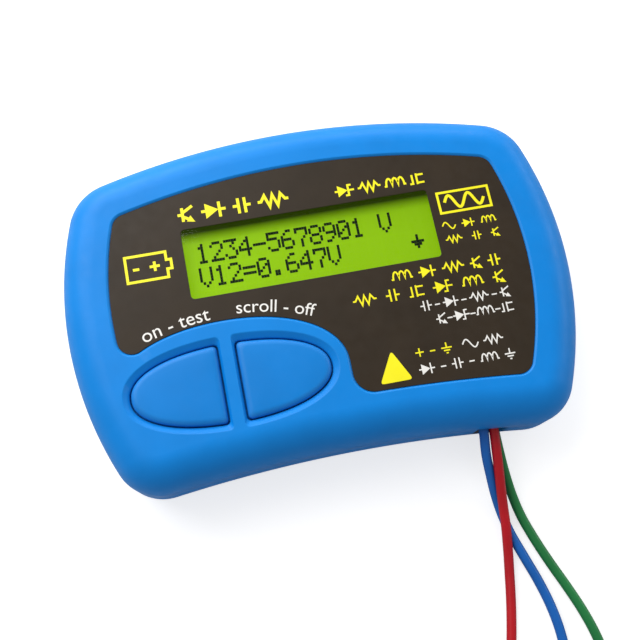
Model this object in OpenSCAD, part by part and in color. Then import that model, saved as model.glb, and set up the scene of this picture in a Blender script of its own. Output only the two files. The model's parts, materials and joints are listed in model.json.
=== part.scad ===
// Pocket semiconductor component tester: a moulded case with a lit character display, two push
// buttons and one AAA cell, and three short test leads that end in hook probes.
// Millimetres. The case lies on its back, +Z out of its face, with the origin under its middle.

/* [Case] */
// Width across the middle of the sides
case_w = 103; // [101:0.5:106]
// Depth from the corners of the front edge to the top of the rear edge
case_d = 70; // [69:0.5:72]
// Height
case_h = 20; // [20:0.1:21]
// Wall thickness
wall = 2; // [1.8:0.1:2.2]
// Height of the joint between the two case halves
parting_z = 10; // [9.5:0.1:10.5]
// Radius of the rounded edge around the face
face_round = 6.8; // [6.5:0.1:7.8]
// Radius of the rounded edge around the back
back_round = 6; // [5:0.1:6.5]
// How far the middle of the front edge curves in
front_hollow = 2.2; // [1.8:0.1:2.6]

/* [Front label] */
// Distance from the case's outline to the label
label_inset = 9.9; // [9.5:0.1:10.3]
// Depth of the label's recess
label_recess = 0.4; // [0.3:0.05:0.5]
// Thickness of the label
label_t = 0.25; // [0.2:0.05:0.3]

/* [Display] */
// Width of the visible window
window_w = 50.5; // [48:0.5:51]
// Height of the visible window
window_h = 14.6; // [14:0.1:15]
// Middle of the window
window_c = [-0.75, 7.9];

/* [Buttons] */
// Half the length of the oval that the two buttons make
oval_a = 19.3; // [18.8:0.1:19.6]
// Half the width of that oval
oval_b = 7.65; // [7.4:0.05:7.8]
// Gap around each button
button_gap = 0.3; // [0.2:0.05:0.35]
// Width of the bar of case between the two openings
bar_w = 3.2; // [3:0.1:3.6]
// How far a button travels
button_travel = 0.6; // [0.4:0.1:0.6]

/* [Leads and probes] */
// Diameter of a test lead
lead_d = 2; // [1.6:0.1:2]
// Largest radius of a probe, at its finger flange
flange_r = 4.3; // [4:0.1:4.3]
// How far a probe's sleeve slides back
sleeve_travel = 5; // [3:0.5:5]

/* [Hidden] */
$fn = 32;
eps = 0.01;
colours = ["red", "green", "blue"];

// Outline: arcs for the rear, the sides and the hollow front, with rounded corners between them.
half_w = case_w/2;
half_d = case_d/2;
rear_r = 159;
side_r = 74.6;
front_r = 300;
rear_c = [0, half_d - rear_r];
side_c = [half_w - side_r, 0.4];
front_c = [0, -half_d + front_hollow - front_r];
rear_corner_r = 10.8;
front_corner_r = 9;

function heading(v) = atan2(v[1], v[0]);
function unit(v) = v/norm(v);
// Where two circles cross, on the right of the line from the first centre to the second.
function meet(c1, r1, c2, r2) =
    let (gap = norm(c2 - c1), along = (r1*r1 - r2*r2 + gap*gap)/(2*gap), dir = unit(c2 - c1))
    c1 + along*dir + sqrt(r1*r1 - along*along)*[dir[1], -dir[0]];
function arc(c, r, from, to, steps, last = 0) =
    [for (i = [0 : steps - 1 + last]) let (t = from + (to - from)*i/steps) c + r*[cos(t), sin(t)]];
function mirrored(pts) = [for (i = [len(pts) - 1 : -1 : 0]) [-pts[i][0], pts[i][1]]];

// Centres of the corner arcs, at an inset from the outline.
function rear_corner(inset, r) = meet(rear_c, rear_r - inset - r, side_c, side_r - inset - r);
function front_corner(inset, r, front_inset) =
    meet(front_c, front_r + front_inset + r, side_c, side_r - inset - r);

// Right half of the outline, from the middle of the rear edge to the middle of the front edge.
function rear_part(inset, r) = let (f = rear_corner(inset, r))
    concat(arc(rear_c, rear_r - inset, 90, heading(f - rear_c), 5),
           arc(f, r, heading(f - rear_c), heading(f - side_c), 5));
function side_part(inset, from, to) =
    concat(arc(side_c, side_r - inset, from, 0, 3), arc(side_c, side_r - inset, 0, to, 4));
function right_half(inset) =
    let (rr = max(rear_corner_r - inset, 1.5), rf = max(front_corner_r - inset, 1.5),
         f = rear_corner(inset, rr), g = front_corner(inset, rf, inset))
    concat(rear_part(inset, rr),
           side_part(inset, heading(f - side_c), heading(g - side_c)),
           arc(g, rf, heading(g - side_c), -90, 5),
           arc(g, rf, -90, heading(front_c - g), 1),
           arc(front_c, front_r + inset, heading(g - front_c), 90, 4, 1));
function outline(inset) =
    let (h = right_half(inset), m = mirrored(h))
    concat(h, [for (i = [1 : len(m) - 2]) m[i]]);

// Label: the outline inset, cut away by the island of case around the buttons.
oval_c = [-21, -16.9];
island_a = 23;
island_b = 12.3;
label_front_inset = 9;
label_corner_r = 3;
lobe_r = 2.9;
lobe_y = -5.3;
foot_r = 4;
function super(a, b, n, t) =
    [a*sign(cos(t))*pow(abs(cos(t)), 2/n), b*sign(sin(t))*pow(abs(sin(t)), 2/n)];
function label_outline(grow) =
    let (d = label_inset - grow, r = label_corner_r + grow, fd = label_front_inset - grow,
         f = rear_corner(d, r), g = front_corner(d, r, fd), rb = front_r + fd,
         foot_x = oval_c[0] + island_a + foot_r,
         foot = [foot_x, front_c[1] + sqrt(rb*rb - foot_x*foot_x) + foot_r + grow],
         lobe_dy = lobe_y - side_c[1], reach = side_r - label_inset - lobe_r,
         lobe = [-side_c[0] - sqrt(reach*reach - lobe_dy*lobe_dy), lobe_y],
         lobe_turn = heading([-lobe[0], lobe_y] - side_c))
    concat(rear_part(d, r),
           side_part(d, heading(f - side_c), heading(g - side_c)),
           arc(g, r, heading(g - side_c), heading(front_c - g), 5),
           arc(front_c, rb, heading(g - front_c), heading(foot - front_c), 4),
           arc(foot, foot_r + grow, 270, 180, 5, 1),
           [for (t = [0 : 9 : 135]) oval_c + super(island_a - grow, island_b - grow, 2.1, t)],
           arc(lobe, lobe_r + grow, 288, 180 - lobe_turn, 5),
           [for (v = mirrored(concat(rear_part(d, r), arc(side_c, side_r - d, heading(f - side_c), 0, 3),
                                     arc(side_c, side_r - d, 0, lobe_turn, 1, 1))))
               if (v[0] < -eps) v]);

// One half of the buttons' oval: side is 1 for the right half, -1 for the left.
oval_n = 2.2;
button_corner = 1;
function oval_y(x, a, b) = b*pow(1 - pow(x/a, oval_n), 1/oval_n);
function bend(p, c, q, s) = (1 - s)*(1 - s)*p + 2*s*(1 - s)*c + s*s*q;
function half_oval(side, grow, bar_grow) =
    let (a = oval_a + grow, b = oval_b + grow, x0 = bar_w/2 + button_gap - bar_grow,
         rc = button_corner, x1 = x0 + rc, y0 = oval_y(x0, a, b), y1 = oval_y(x1, a, b),
         t0 = acos(pow(x1/a, oval_n/2)), p = [x0, y0 - rc], c = [x0, y0], q = [x1, y1],
         corner = [for (s = [0, 1/3, 2/3]) bend(p, c, q, s)],
         curve = [for (i = [0 : 18]) super(a, b, oval_n, t0*(1 - i/9))],
         pts = concat(corner, curve, [for (k = [2 : -1 : 0]) [corner[k][0], -corner[k][1]]]))
    [for (v = pts) oval_c + [side*v[0], v[1]]];

function round_rect(c, w, h, r) =
    concat(arc(c + [w/2 - r, h/2 - r], r, 90, 0, 4, 1), arc(c + [w/2 - r, r - h/2], r, 0, -90, 4, 1),
           arc(c + [r - w/2, r - h/2], r, -90, -180, 4, 1),
           arc(c + [r - w/2, h/2 - r], r, 180, 90, 4, 1));

// A solid through rings, each [points, z], with the same number of points in every ring.
function turn_of(pts) = let (n = len(pts))
    [for (i = 0, s = 0; i < n; s = s + cross(pts[i], pts[(i + 1) % n]), i = i + 1) s][n - 1];
function middle(pts) = [for (v = pts) 1]*pts/len(pts);
function skin_faces(n, m) = concat(
    [for (i = [0 : m - 2], j = [0 : n - 1]) let (k = (j + 1) % n, a = i*n) [a + j, a + k, a + n + k]],
    [for (i = [0 : m - 2], j = [0 : n - 1]) let (k = (j + 1) % n, a = i*n)
        [a + j, a + n + k, a + n + j]],
    [for (j = [0 : n - 1]) [n*m, (j + 1) % n, j]],
    [for (j = [0 : n - 1]) [n*m + 1, n*(m - 1) + j, n*(m - 1) + (j + 1) % n]]);
module loft(rings) {
    n = len(rings[0][0]);
    m = len(rings);
    flip = turn_of(rings[0][0]) > 0;
    points = [for (r = rings, j = [0 : n - 1])
        let (v = r[0][flip ? n - 1 - j : j]) [v[0], v[1], r[1]]];
    ends = [for (r = [rings[0], rings[m - 1]]) let (c = middle(r[0])) [c[0], c[1], r[1]]];
    polyhedron(concat(points, ends), skin_faces(n, m), convexity = 6);
}

// A round tube along a path, with its rings square to the path.
function along(path, i) =
    unit(path[min(i + 1, len(path) - 1)] - path[max(i - 1, 0)]);
function tube_ring(c, t, up, r, sides) =
    let (u = unit(cross(t, up)), v = cross(u, t))
    [for (k = [0 : sides - 1]) c + r*(cos(360*k/sides)*u + sin(360*k/sides)*v)];
module tube(path, r, sides, up = [0, 0, 1]) {
    m = len(path);
    points = [for (i = [0 : m - 1], p = tube_ring(path[i], along(path, i), up, r, sides)) p];
    polyhedron(concat(points, [path[0], path[m - 1]]), skin_faces(sides, m), convexity = 10);
}
function helix(x0, x1, r0, r1, turns, per_turn) =
    [for (i = [0 : turns*per_turn])
        let (f = i/(turns*per_turn), t = 360*i/per_turn, r = r0 + (r1 - r0)*f)
        [x0 + (x1 - x0)*f, r*cos(t), r*sin(t)]];

function at(c, from, to) = [c + from, c + to];
module slab(pts, z0, z1) {
    translate([0, 0, z0]) linear_extrude(z1 - z0) polygon(pts);
}
module block(x, y, z) {
    translate([x[0], y[0], z[0]]) cube([x[1] - x[0], y[1] - y[0], z[1] - z[0]]);
}
module disc(c, r, z) {
    translate([c[0], c[1], z[0]]) cylinder(h = z[1] - z[0], r = r);
}
module rod(r, x) {
    translate([x[0], 0, 0]) rotate([0, 90, 0]) cylinder(h = x[1] - x[0], r = r);
}

// Heights inside the case.
board_z = [7.6, 9.2];
panel_z = [10.6, 11.6];
light_z = [11.6, 14.3];
glass_z = [14.3, 16.8];
bezel_top = 17.3;
plate_z = [18.8, 19.6];
label_floor = case_h - label_recess;
boss_at = [[-41.3, 12], [41.3, 12], [-37.6, -25.6], [37.6, -25.6]];
switch_at = [[-31.5, -16.9], [-12, -16.9]];
plunger_top = 14.2;
cap_top = case_h - 0.05;

// Half-size of the slot in the front wall that the grommet fills, and its middle.
grommet_c = [28.2, 8.5];
grommet_half = [3, 2.9];

// Rings of a rounded edge that rises from z with radius r and ends flat; reversed lists run down.
edge_steps = 5;
function edge_rings(r, inset, z) =
    [for (i = [0 : edge_steps]) let (t = 90*i/edge_steps)
        [outline(inset + r*(1 - cos(t))), z + r*sin(t)]];
function reversed(list) = [for (i = [len(list) - 1 : -1 : 0]) list[i]];
// Skin of a hollow half that opens downwards at open_z: its inside, its rim and then its outside.
function shell_rings(r, top, open_z, rim) =
    concat(reversed(edge_rings(r - wall, wall, top - r)), rim, [[outline(0), open_z]],
           edge_rings(r, 0, top - r));

module lead_slot(clear) {
    w = grommet_half[0] + clear;
    h = grommet_half[1] + clear;
    block([grommet_c[0] - w, grommet_c[0] + w], [-36, -30], [grommet_c[1] - h, grommet_c[1] + h]);
}

lip_h = 1.2;
module upper_case() {
    rim = [[outline(wall), parting_z + lip_h + 0.1], [outline(wall/2), parting_z + lip_h + 0.1],
           [outline(wall/2), parting_z]];
    color("dodgerblue") union() {
        difference() {
            loft(shell_rings(face_round, case_h, parting_z, rim));
            slab(label_outline(0.1), label_floor, case_h + 1);
            slab(round_rect(window_c, window_w + 4, window_h + 4, 1), plate_z[0], case_h);
            slab(round_rect(window_c, window_w + 0.6, window_h + 0.6, 1), 15, case_h);
            for (side = [-1, 1]) loft([[half_oval(side, button_gap, button_gap), 15],
                                       [half_oval(side, button_gap, button_gap), case_h - 1],
                                       [half_oval(side, button_gap + 1.3, button_gap + 0.5), case_h + eps]]);
            lead_slot(0.05);
        }
        for (p = boss_at) difference() {
            disc(p, 2.6, [board_z[1], case_h - wall + 0.5]);
            disc(p, 1.25, [board_z[1] - 1, 17]);
        }
    }
}

module lower_case() {
    rim = [[outline(wall), -parting_z - lip_h], [outline(wall/2 + 0.05), -parting_z - lip_h],
           [outline(wall/2 + 0.05), -parting_z]];
    color("dodgerblue") difference() {
        union() {
            mirror([0, 0, 1]) loft(shell_rings(back_round, 0, -parting_z, rim));
            for (p = boss_at) disc(p, 3, [wall - 0.1, board_z[0]]);
            for (x = [2, 32], y = [-22.8, -11.1]) block([x, x + 3], [y, y + 1.3], [wall - 0.1, 3]);
        }
        for (p = boss_at) {
            disc(p, 2.3, [-1, 4]);
            disc(p, 1.5, [3, 9]);
        }
        slab(round_rect([0, 6], 56, 24, 2), -1, 0.35);
        lead_slot(0.05);
    }
}

module front_label() {
    color("#35302b") difference() {
        slab(label_outline(0), label_floor, label_floor + label_t);
        slab(round_rect(window_c, window_w, window_h, 0.8), 18, case_h + 1);
    }
}

module display_window() {
    color("white", 0.4)
        slab(round_rect(window_c, window_w + 3.8, window_h + 3.8, 0.9), plate_z[0], plate_z[1]);
}

module rear_label() {
    color("silver") slab(round_rect([0, 6], 55.6, 23.6, 1.8), 0.15, 0.35);
}

module case_screws() {
    color("gray") for (p = boss_at) difference() {
        union() {
            disc(p, 2.1, [2.2, 4]);
            disc(p, 1.35, [4, 15.5]);
        }
        for (a = [0, 90]) translate([p[0], p[1], 2]) rotate([0, 0, a]) cube([2.4, 0.6, 2], center = true);
    }
}

// A push button: dished cap, a flange that keeps it in, and the post that presses the switch.
module button(side) {
    crown = [[0, -1], [0.05, -0.75], [0.25, -0.4], [0.6, -0.15], [1.3, 0]];
    post = switch_at[side < 0 ? 0 : 1];
    color("dodgerblue") union() {
        loft(concat([[half_oval(side, 0, 0), 17.4]],
                    [for (c = crown) [half_oval(side, -c[0], -c[0]), cap_top + c[1]]]));
        slab(half_oval(side, 0.9, 0.9), 16.8, 17.6);
        disc(post, 1.9, [plunger_top, 17]);
    }
}
module left_button() { button(-1); }
module right_button() { button(1); }

module switch_plunger(p) {
    color("dimgray") disc(p, 1.7, [11 + button_travel, plunger_top]);
}
module left_switch_plunger() { switch_plunger(switch_at[0]); }
module right_switch_plunger() { switch_plunger(switch_at[1]); }
module switch_bodies() {
    color("black") for (p = switch_at) difference() {
        block(at(p[0], -3, 3), at(p[1], -3, 3), [board_z[1], 12.7]);
        disc(p, 1.85, [10.6, 13]);
    }
}
module switch_covers() {
    color("silver") for (p = switch_at) difference() {
        block(at(p[0], -2.9, 2.9), at(p[1], -2.9, 2.9), [12.7, 13]);
        disc(p, 1.8, [12, 14]);
    }
}
module switch_dome(p) {
    color("gold") translate([p[0], p[1], 10.6]) rotate_extrude()
        polygon([[0, 0.8], [0.8, 0.7], [1.3, 0.35], [1.5, 0], [1.7, 0], [1.5, 0.4], [0.9, 0.85], [0, 0.97]]);
}
module left_switch_dome() { switch_dome(switch_at[0]); }
module right_switch_dome() { switch_dome(switch_at[1]); }

module display_board() {
    color("darkgreen") difference() {
        block(at(window_c[0], -33, 33), at(window_c[1], -15, 15), panel_z);
        for (x = [-30, 30], y = [-12.4, 12.4]) disc(window_c + [x, y], 1.25, [10, 12]);
    }
}
module display_backlight() {
    color("greenyellow") block(at(window_c[0], -29.5, 29.5), at(window_c[1], -9, 9), light_z);
}
module display_glass() {
    color("yellowgreen") block(at(window_c[0], -29, 29), at(window_c[1], -11.2, 11.2), glass_z);
}
module contact_strips() {
    color("dimgray") for (y = [-10.9, 9.3])
        block(at(window_c[0], -28, 28), at(window_c[1] + y, 0, 1.6), light_z);
}
module display_bezel() {
    color("silver") union() {
        difference() {
            block(at(window_c[0], -30.4, 30.4), at(window_c[1], -12, 12), [panel_z[1], bezel_top]);
            block(at(window_c[0], -29.8, 29.8), at(window_c[1], -11.4, 11.4), [panel_z[1] - 1, glass_z[1]]);
            block(at(window_c[0], -26.6, 26.6), at(window_c[1], -8.6, 8.6), [16, 18]);
        }
        for (x = [-30.4, 29.8], y = [-7, 7])
            block(at(window_c[0] + x, 0, 0.6), at(window_c[1] + y, -1.2, 1.2), [10.2, panel_z[1] + 0.5]);
    }
}
module driver_blob() {
    color("black") translate([window_c[0] + 8, window_c[1], panel_z[0]]) mirror([0, 0, 1]) rotate_extrude()
        polygon([[0, 0], [4.2, 0], [3.9, 0.4], [3, 0.7], [1.6, 0.88], [0, 0.95]]);
}
module display_spacers() {
    color("white") for (x = [-30, 30], y = [-12.4, 12.4]) difference() {
        disc(window_c + [x, y], 2.1, [board_z[1], panel_z[0]]);
        disc(window_c + [x, y], 1.25, [9, 11]);
    }
}

pin_pitch = 2.54;
pin_y = window_c[1] - 13.4;
module header_strip() {
    color("black") block([-21, 19.5], at(pin_y, -1.2, 1.2), [board_z[1], panel_z[0]]);
}
module header_pins() {
    color("gold") for (i = [0 : 15])
        block(at(-19.8 + pin_pitch*i, -0.3, 0.3), at(pin_y, -0.3, 0.3), [6.8, 12.4]);
}

// The cell lies across the front of the case, in a slot in the main board.
cell_r = 5.25;
cell_c = [-16.3, 7.6];
cell_x = [-5.2, 38.5];
nub_x = -6;
holder_x = [-7.6, 43.3];
holder_y = at(cell_c[0], -5.95, 5.95);
module main_board() {
    color("darkgreen") difference() {
        slab(outline(4), board_z[0], board_z[1]);
        block([holder_x[0] - 0.3, 60], holder_y + [-0.25, 0.25], [7, 10]);
        for (p = boss_at) disc(p, 1.7, [7, 10]);
    }
}
module battery_cell() {
    color("darkorange") translate([0, cell_c[0], cell_c[1]]) union() {
        rod(cell_r, cell_x);
        rod(1.9, [nub_x, cell_x[0] + 0.1]);
    }
}
module battery_holder() {
    color("#222222") difference() {
        block(holder_x, holder_y, [3, 9.1]);
        block([-6.4, 42.1], at(cell_c[0], -5.35, 5.35), [2, 10]);
    }
}
module positive_contact() {
    color("silver") union() {
        block([-6.4, nub_x], at(cell_c[0], -3.2, 3.2), [3.4, 11.5]);
        block([-8.8, -6], at(cell_c[0], -1.5, 1.5), [board_z[1], board_z[1] + 0.3]);
    }
}
module negative_contact() {
    color("silver") union() {
        block([41.7, 42.1], at(cell_c[0], -3.2, 4.4), [3.4, 11.5]);
        block([38.9, 42.1], at(cell_c[0], 4, 9.6), [board_z[1], board_z[1] + 0.3]);
    }
}
module battery_spring() {
    color("silver") translate([0, cell_c[0], cell_c[1]])
        tube(helix(cell_x[1] + 0.25, 41.45, 2, 3.8, 3, 12), 0.25, 6, [1, 0, 0]);
}

// Parts on the underside of the main board.
under = board_z[0];
module controller_chip() {
    color("#202020") block([-20, -2], [1, 8.4], [under - 2.3, under - 0.1]);
}
module controller_legs() {
    color("silver") for (i = [0 : 13], side = [-1, 1]) {
        x = -19.25 + 1.27*i;
        y = 4.7 + side*4.4;
        block(at(x, -0.2, 0.2), at(y, -0.7, 0.7), [under - 0.2, under]);
        block(at(x, -0.2, 0.2), at(y + side*-0.45, -0.25, 0.25), [under - 1.3, under - 0.2]);
    }
}
module crystal() {
    color("silver") union() {
        block([9, 16], [2, 6.6], [under - 3.5, under]);
        for (x = [9, 16]) disc([x, 4.3], 2.3, [under - 3.5, under]);
    }
}
module inductor() {
    color("dimgray") difference() {
        disc([27, 6], 3.6, [under - 4, under]);
        translate([27, 6, under - 3.2]) rotate_extrude() translate([2.7, 0]) square([2, 2.2]);
    }
}
module electrolytic_capacitor() {
    color("midnightblue") disc([-31, 6], 2.5, [under - 5.2, under]);
}
module ceramic_capacitors() {
    color("tan") for (x = [-28 : 6 : 26], y = [-8.2, 13])
        block(at(x, -1, 1), at(y, -0.6, 0.6), [under - 0.8, under]);
}
module resistors() {
    color("black") for (x = [-25 : 6 : 29], y = [-3, 16])
        block(at(x, -1, 1), at(y, -0.6, 0.6), [under - 0.55, under]);
}
module transistors() {
    color("#202020") for (x = [-30 : 4 : -14]) union() {
        block(at(x, -1.45, 1.45), [-26.7, -25.4], [under - 1.1, under - 0.1]);
        block(at(x, -0.2, 0.2), [-25.5, -24.8], [under - 0.3, under]);
        for (s = [-0.95, 0.95]) block(at(x + s, -0.2, 0.2), [-27.3, -26.6], [under - 0.3, under]);
    }
}

// Routes of the leads, from their joints inside the case to the backs of the probes.
routes = [
    [[28.9, -30.3, 9.6], [28.9, -34, 9.5], [28.6, -38.5, 8.7], [28.4, -43, 7.2], [28.3, -48, 5],
     [28.2, -53, 3.2], [27.8, -58, 1.6], [27, -63, 1], [26, -68, 1], [24.8, -73, 1],
     [23.4, -78, 1], [21.9, -82.5, 1], [20.3, -87, 1.2], [18.8, -91.3, 2.6], [17.2, -95.5, 4.9],
     [15.9, -99.3, 6.4], [14.8, -102.4, 6.5], [14, -105, 6.2]],
    [[29.6, -30.3, 7.2], [29.6, -34, 7.2], [29.8, -38.5, 6.2], [30.4, -43, 4.2], [31.3, -47.5, 2.2],
     [32.4, -52, 1.1], [34, -57, 1], [35.9, -62, 1], [38, -67, 1], [39.9, -72, 1], [41.3, -77, 1],
     [42, -82, 1], [42, -87, 1.1], [41.4, -91.5, 2.6], [40.7, -95.5, 5], [40.2, -99, 6.4],
     [40, -101.5, 6.5], [40, -104, 6.2]],
    [[26.8, -30.3, 9.6], [26.8, -34, 9.5], [26.5, -38.5, 8.2], [26.9, -42.5, 6], [27.5, -46.5, 3.6],
     [28.3, -50.5, 1.8], [29.4, -55, 1], [31, -60, 1], [32.6, -65, 1], [33.8, -70, 1],
     [34.4, -75, 1], [34.3, -80, 1], [33.5, -85, 1], [32.2, -90, 1.1], [30.6, -95, 2.5],
     [29, -99.5, 5], [27.9, -103, 6.4], [27.2, -105.8, 6.5], [27, -108, 6.2]]];
lead_colours = ["firebrick", "seagreen", "royalblue"];
module lead(i) {
    color(lead_colours[i]) tube(routes[i], lead_d/2, 8);
}
module lead_grommet() {
    color("#222222") difference() {
        union() {
            block(at(grommet_c[0], -grommet_half[0], grommet_half[0]), [-33.8, -31.5],
                  at(grommet_c[1], -grommet_half[1], grommet_half[1]));
            block(at(grommet_c[0], -3.8, 3.8), [-31.7, -31], at(grommet_c[1], -3.4, 3.4));
        }
        for (r = routes) translate([r[1][0], -36, r[0][2]]) rotate([-90, 0, 0])
            cylinder(h = 8, r = lead_d/2 + 0.1);
    }
}
// Tinned ends of the leads, soldered to the front strip of the main board.
module lead_joints() {
    color("silver") for (r = routes) {
        top = r[0][2] > board_z[1];
        z = top ? board_z[1] : board_z[0];
        union() {
            translate([r[0][0], -30.3, r[0][2]]) rotate([-90, 0, 0]) cylinder(h = 2.2, r = 0.38);
            translate([r[0][0], -28.4, z]) mirror([0, 0, top ? 0 : 1]) cylinder(h = 0.9, r1 = 0.95, r2 = 0.5);
        }
    }
}

// Hook probes, each along its own +X from the back of its thumb button, nose down on the bench.
probe_tilt = 6.2;
probe_turn = [255, 272, 267];
sleeve_x = 11 + sleeve_travel;
tip_x = 44.6;
module at_probe(i) {
    translate(routes[i][len(routes[i]) - 1]) rotate([0, probe_tilt, probe_turn[i]]) children();
}
module probe_core(i) {
    color(lead_colours[i]) at_probe(i) rotate([0, 90, 0]) rotate_extrude()
        polygon([[1.02, 0], [1.5, 0], [2.1, 4], [3.9, 4], [4.1, 4.3], [4.1, 5], [3.9, 5.3], [3.3, 5.6],
                 [3.3, 9.4], [3.1, 9.8], [1.2, 9.8], [1.2, 24.6], [0, 24.6], [0, 0.2], [1.02, 0.2]]);
}
module hook(i) {
    reach = tip_x + 0.55;
    color("silver") at_probe(i)
        tube([[24.6, 0, 0], [36, 0, 0], [reach - 0.35, 0, 0], [reach + 0.25, 0, 0.25], [reach + 0.4, 0, 0.7],
              [reach + 0.1, 0, 1.1], [reach - 0.15, 0, 1.15]], 0.32, 8, [0, 1, 0]);
}
module sleeve(i) {
    color(lead_colours[i]) at_probe(i) rotate([0, 90, 0]) rotate_extrude()
        polygon([[1.32, sleeve_x], [flange_r - 0.3, sleeve_x], [flange_r, sleeve_x + 0.4],
                 [flange_r, sleeve_x + 1.1], [flange_r - 0.4, sleeve_x + 1.4], [2.8, sleeve_x + 1.8],
                 [2.6, sleeve_x + 14], [2.3, sleeve_x + 16], [1.7, sleeve_x + 18], [1.3, tip_x - 0.4],
                 [1.1, tip_x], [0.5, tip_x], [0.5, 32], [1.32, 31]]);
}
module probe_spring(i) {
    color("silver") at_probe(i) tube(helix(10, sleeve_x - 0.2, 1.9, 1.9, 4, 10), 0.13, 6, [1, 0, 0]);
}

upper_case();
lower_case();
front_label();
display_window();
rear_label();
case_screws();
left_button();
right_button();
left_switch_plunger();
right_switch_plunger();
switch_bodies();
switch_covers();
left_switch_dome();
right_switch_dome();
display_board();
display_backlight();
display_glass();
display_bezel();
contact_strips();
driver_blob();
display_spacers();
header_strip();
header_pins();
main_board();
controller_chip();
controller_legs();
crystal();
inductor();
electrolytic_capacitor();
ceramic_capacitors();
resistors();
transistors();
battery_cell();
battery_holder();
positive_contact();
negative_contact();
battery_spring();
lead_grommet();
lead_joints();
for (i = [0 : len(colours) - 1]) {
    lead(i);
    probe_core(i);
    hook(i);
    sleeve(i);
    probe_spring(i);
}
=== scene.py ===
"""Looks of the pocket component tester: shells, printed label, lit display, leads and probes.

Lengths are in millimetres in the row frame until mesh() or lead() turns them into metres.
"""

import json
import math

import bmesh
import bpy
import numpy as np
from mathutils import Matrix, Vector
from mathutils.geometry import delaunay_2d_cdt


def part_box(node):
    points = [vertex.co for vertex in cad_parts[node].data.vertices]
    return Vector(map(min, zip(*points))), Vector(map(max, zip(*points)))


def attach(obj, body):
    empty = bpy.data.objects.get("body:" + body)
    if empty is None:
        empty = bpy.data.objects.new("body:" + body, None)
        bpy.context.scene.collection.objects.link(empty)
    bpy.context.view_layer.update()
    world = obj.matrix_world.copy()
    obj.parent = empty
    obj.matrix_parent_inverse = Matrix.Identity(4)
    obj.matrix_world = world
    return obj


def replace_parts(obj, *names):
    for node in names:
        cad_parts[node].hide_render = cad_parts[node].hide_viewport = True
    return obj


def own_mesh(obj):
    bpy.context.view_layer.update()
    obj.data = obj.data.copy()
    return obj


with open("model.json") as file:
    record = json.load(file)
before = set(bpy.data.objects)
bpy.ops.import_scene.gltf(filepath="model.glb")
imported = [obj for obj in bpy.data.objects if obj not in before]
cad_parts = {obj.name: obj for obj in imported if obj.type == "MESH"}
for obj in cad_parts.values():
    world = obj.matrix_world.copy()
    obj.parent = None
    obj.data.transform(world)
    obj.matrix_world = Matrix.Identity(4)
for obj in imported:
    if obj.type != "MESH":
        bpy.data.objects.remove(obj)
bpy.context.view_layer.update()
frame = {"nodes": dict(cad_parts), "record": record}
MM = 0.001


def box_mm(node):
    """Lowest and highest corner of a CAD node, in millimetres."""
    low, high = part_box(node)
    return np.array(low) / MM, np.array(high) / MM


# ---- camera
VIEW_AIM = Vector((-1.2, -5.4, 10)) * MM
VIEW_AZIMUTH = math.radians(-20.55)
VIEW_ELEVATION = math.radians(74.15)
VIEW_ROLL = math.radians(9.7)
VIEW_DISTANCE = 185.5 * MM
LENS = 50.6


def make_camera():
    a, e = VIEW_AZIMUTH, VIEW_ELEVATION
    back = Vector((math.sin(a) * math.cos(e), -math.cos(a) * math.cos(e), math.sin(e)))
    level = Vector((math.cos(a), math.sin(a), 0))
    rise = level.cross(-back)
    right = math.cos(VIEW_ROLL) * level + math.sin(VIEW_ROLL) * rise
    up = math.cos(VIEW_ROLL) * rise - math.sin(VIEW_ROLL) * level
    data = bpy.data.cameras.new("camera")
    data.lens = LENS
    data.clip_start = 0.005
    camera = bpy.data.objects.new("camera", data)
    bpy.context.scene.collection.objects.link(camera)
    camera.matrix_world = Matrix.Translation(VIEW_AIM + VIEW_DISTANCE * back) @ Matrix(
        (right, up, back)
    ).transposed().to_4x4()
    bpy.context.scene.camera = camera


# ---- material nodes
def connect(tree, made, socket, value):
    """Feeds another node's output, or a constant, into one of a node's inputs."""
    if isinstance(value, bpy.types.NodeSocket):
        tree.links.new(value, made.inputs[socket])
    else:
        made.inputs[socket].default_value = value


def node(tree, kind, inputs=(), **settings):
    """A new shader node. inputs are (socket, value or output socket) pairs."""
    made = tree.nodes.new(kind)
    for name, value in settings.items():
        setattr(made, name, value)
    for socket, value in inputs:
        connect(tree, made, socket, value)
    return made


def maths(tree, operation, a, b=0.0):
    return node(tree, "ShaderNodeMath", [(0, a), (1, b)], operation=operation).outputs[0]


def noise(tree, scale, detail=3.0, stretch=(1, 1, 1)):
    """Noise in the object's own coordinates. scale is in features per millimetre."""
    place = node(tree, "ShaderNodeTexCoord").outputs["Object"]
    place = node(tree, "ShaderNodeMapping", [(0, place), ("Scale", stretch)]).outputs[0]
    return node(
        tree,
        "ShaderNodeTexNoise",
        [("Vector", place), ("Scale", scale / MM), ("Detail", detail)],
    ).outputs["Fac"]


def ramp(tree, value, low, high, to_low=0.0, to_high=1.0):
    return node(
        tree,
        "ShaderNodeMapRange",
        [("Value", value), (1, low), (2, high), (3, to_low), (4, to_high)],
    ).outputs[0]


def mix(tree, factor, a, b):
    inputs = [(0, factor), (6, a), (7, b)]
    return node(tree, "ShaderNodeMix", inputs, data_type="RGBA").outputs[2]


def shade(colour, factor):
    """The colour made lighter or darker, with an alpha of 1."""
    return (*[min(1.0, c * factor) for c in colour[:3]], 1.0)


def bumps(tree, layers):
    """Stacked bump nodes. layers are (height socket, depth in millimetres) pairs."""
    normal = None
    for height, depth in layers:
        inputs = [("Height", height), ("Distance", depth * MM), ("Strength", 1.0)]
        if normal is not None:
            inputs.append(("Normal", normal))
        normal = node(tree, "ShaderNodeBump", inputs).outputs[0]
    return normal


def empty_material(name, **sockets):
    material = bpy.data.materials.new(name)
    material.use_nodes = True
    tree = material.node_tree
    shader = tree.nodes["Principled BSDF"]
    for socket, value in sockets.items():
        shader.inputs[socket.replace("_", " ")].default_value = value
    return material, tree, shader


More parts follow.
